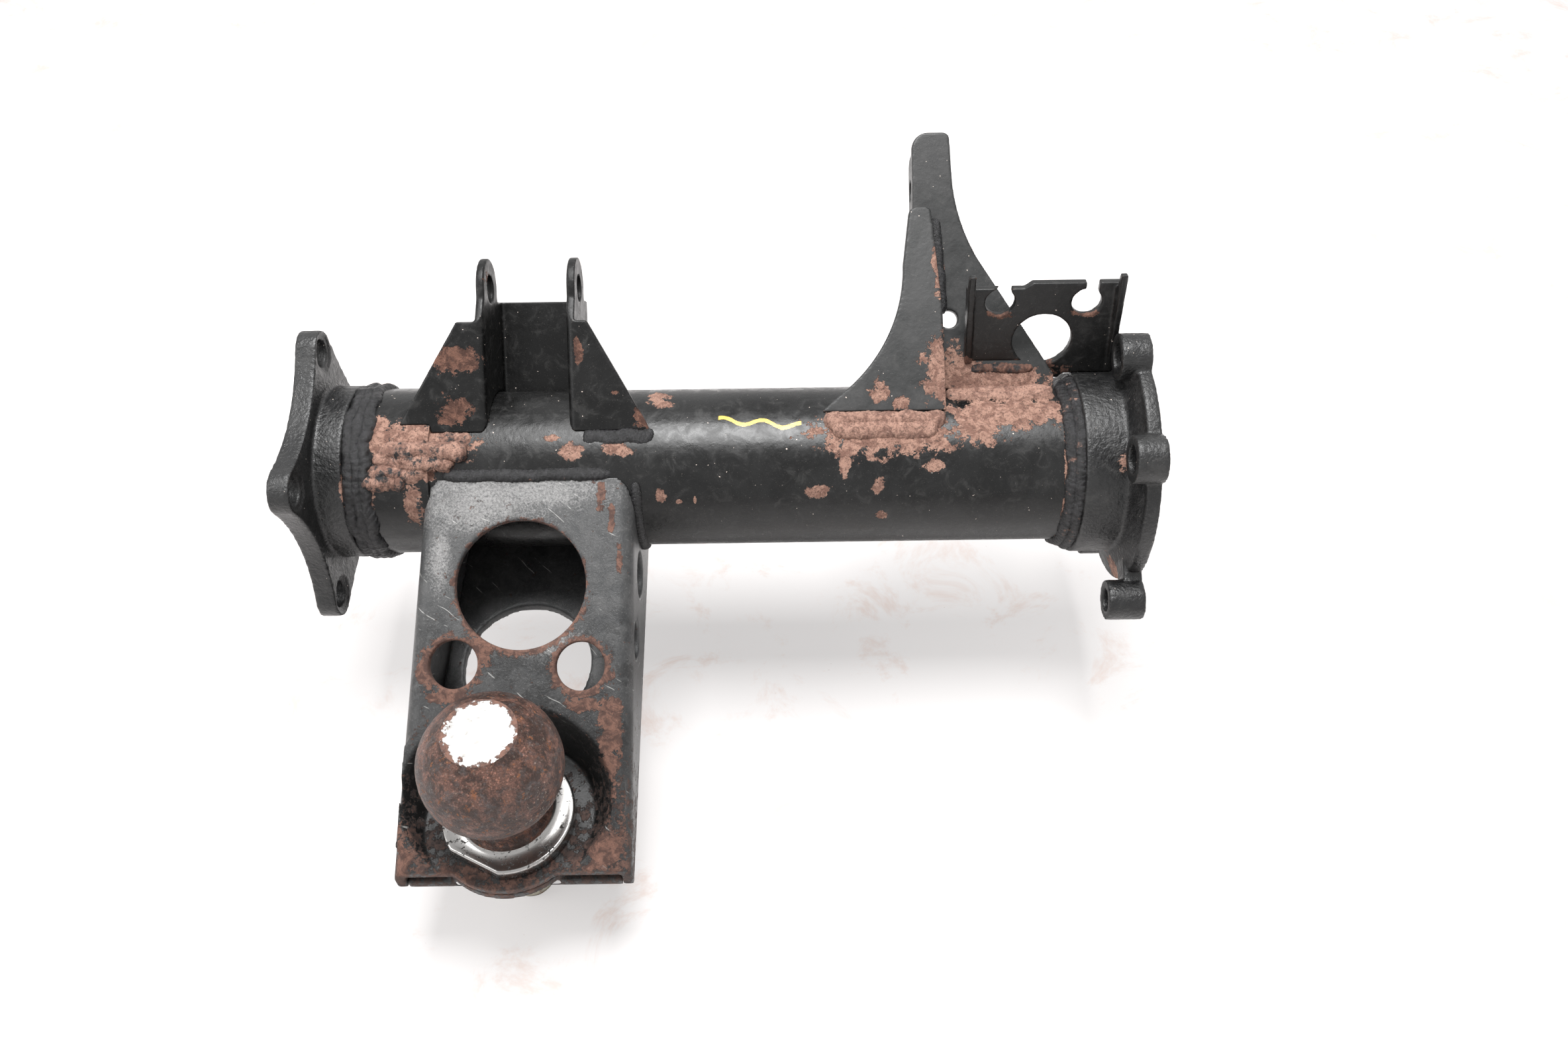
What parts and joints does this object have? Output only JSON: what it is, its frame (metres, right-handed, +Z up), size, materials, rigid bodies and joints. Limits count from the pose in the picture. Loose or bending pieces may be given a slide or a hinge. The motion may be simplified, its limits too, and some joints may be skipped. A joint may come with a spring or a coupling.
{
  "type": "trailer hitch with ball on an axle housing",
  "caption": "Axle housing tube with end flanges, a shock clevis, an arm and a hose guide, and a welded hitch channel that carries a trailer ball held by a nut and washer.",
  "frame": {"origin": "centre of the inner flange's mating face, on the axle's axis", "axes": "+X along the axle towards the inner flange, +Z up along the hitch ball's axis, -Y rearward to the ball"},
  "size_m": [0.323, 0.2459, 0.1976],
  "materials": {
    "black_paint": "satin black paint with light brown rust patches",
    "cast_paint": "satin black paint over rough casting",
    "weld_bead": "painted weld bead, rusting through",
    "worn_hitch_plate": "black paint worn to grey metal, scratched",
    "worn_chrome": "chrome plating, the ball rusty with a bright flat top",
    "plated_steel": "zinc plated, dull"
  },
  "bodies": {
    "housing": {"arm_gusset": "black_paint", "arm_gusset_weld": "weld_bead", "arm_plate": "black_paint", "arm_plate_weld": "weld_bead", "arm_seam_weld": "weld_bead", "axle_tube": "black_paint", "ball_stud": "worn_chrome", "guide_bracket": "black_paint", "guide_weld": "weld_bead", "hitch_lower_plate": "worn_hitch_plate", "hitch_lower_weld": "weld_bead", "hitch_side_weld_left": "weld_bead", "hitch_side_weld_right": "weld_bead", "hitch_top_weld": "weld_bead", "hitch_upper_channel": "worn_hitch_plate", "inner_flange": "cast_paint", "inner_flange_weld": "weld_bead", "outer_flange": "cast_paint", "outer_flange_weld": "weld_bead", "shock_bracket": "black_paint", "shock_weld_left": "weld_bead", "shock_weld_right": "weld_bead", "tube_sleeve": "black_paint"},
    "washer": {"lock_washer": "plated_steel"},
    "nut": {"hex_nut": "plated_steel"}
  },
  "joints": [
    {"name": "nut_travel", "type": "slide", "parent": "housing", "child": "washer", "axis": [0, 0, -1], "range_m": [0, 0.0102]},
    {"name": "nut_spin", "type": "hinge", "parent": "washer", "child": "nut", "pos_m": [-0.2408, -0.1258, -0.0746], "axis": [0, 0, -1], "range_deg": [0, 1440]}
  ],
  "couplings": [
    {"joint": "nut_travel", "follows": "nut_spin", "m_per_rad": 0.00040425}
  ]
}
